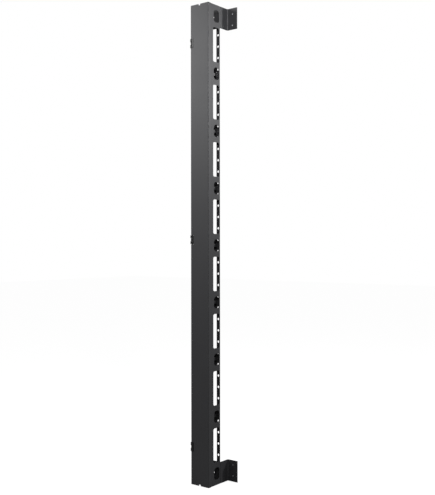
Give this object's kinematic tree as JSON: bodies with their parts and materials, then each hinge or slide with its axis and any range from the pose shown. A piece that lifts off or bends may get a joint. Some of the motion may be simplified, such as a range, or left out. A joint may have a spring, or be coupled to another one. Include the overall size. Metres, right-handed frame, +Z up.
{
  "type": "vertical cable manager",
  "caption": "Tall perforated steel cable channel with a hinged full-height cover, split cable rings inside it and an offset rack bracket at each end.",
  "frame": {"origin": "centre of the two rack holes in the lower bracket, on the front face of its rack flange", "axes": "+Z up along the channel; the cover faces -Y; the rack flanges reach towards +X, so the rack is on +X"},
  "size_m": [0.1362, 0.134, 1.8669],
  "materials": {
    "channel_coat": "fine-textured matt powder coat",
    "cover_coat": "fine-textured matt powder coat",
    "bracket_coat": "fine-textured matt powder coat",
    "magnet_rubber": "matt filled rubber",
    "hinge_metal": "satin black",
    "ring_plastic": "moulded, slightly glossy",
    "black_zinc": "black zinc plating",
    "zinc": "zinc plating",
    "pin_steel": "bright ground steel"
  },
  "bodies": {
    "frame": {"channel": "channel_coat", "lower_bracket": "bracket_coat", "upper_bracket": "bracket_coat", "bracket_screws": "black_zinc", "bracket_nuts": "zinc", "rack_nuts": "zinc", "ring_1": "ring_plastic", "ring_2": "ring_plastic", "ring_3": "ring_plastic", "ring_4": "ring_plastic", "ring_5": "ring_plastic", "ring_6": "ring_plastic", "ring_7": "ring_plastic", "ring_rivets": "black_zinc", "lower_hinge_body": "hinge_metal", "middle_hinge_body": "hinge_metal", "upper_hinge_body": "hinge_metal", "lower_hinge_pin": "pin_steel", "middle_hinge_pin": "pin_steel", "upper_hinge_pin": "pin_steel", "hinge_screws": "zinc"},
    "cover": {"cover": "cover_coat", "magnetic_strip": "magnet_rubber", "lower_hinge_leaf": "hinge_metal", "middle_hinge_leaf": "hinge_metal", "upper_hinge_leaf": "hinge_metal", "leaf_nuts": "zinc"}
  },
  "joints": [
    {"name": "cover_hinge", "type": "hinge", "parent": "frame", "child": "cover", "pos_m": [-0.10595, -0.1192, 0.889], "axis": [0, 0, -1], "range_deg": [0, 180]}
  ]
}
